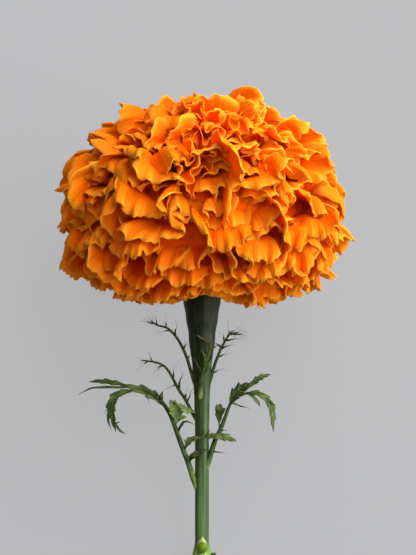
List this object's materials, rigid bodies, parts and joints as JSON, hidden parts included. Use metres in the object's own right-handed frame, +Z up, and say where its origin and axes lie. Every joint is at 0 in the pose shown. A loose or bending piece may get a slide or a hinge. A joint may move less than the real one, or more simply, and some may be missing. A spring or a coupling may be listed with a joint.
{
  "type": "african marigold flower",
  "caption": "Cut double marigold lying down: a dense, ruffled orange head on a green stem with a side bud, finely cut leaves and bracts, resting on the head and the stem's cut end.",
  "frame": {"origin": "middle of the flower's footprint, on the surface that it lies on", "axes": "+Z up; +Y along the flower, from the stem's cut end towards the bloom; +X to the right of someone looking from the stem towards the bloom"},
  "size_m": [0.0888, 0.1466, 0.0811],
  "materials": {
    "petal": "soft, waxy and slightly translucent",
    "involucre": "matte",
    "stem": "fresh green stem with a satin skin",
    "leaf": "matte leaf with a lighter midrib",
    "bud": "satin"
  },
  "bodies": {
    "root": {"bloom": "petal", "involucre": "involucre", "stem": "stem", "side_bud": "bud", "leaf_left": "leaf", "leaf_right": "leaf", "bract_left_upper": "leaf", "bract_left_lower": "leaf", "bract_front": "leaf", "bract_right": "leaf"}
  },
  "joints": []
}
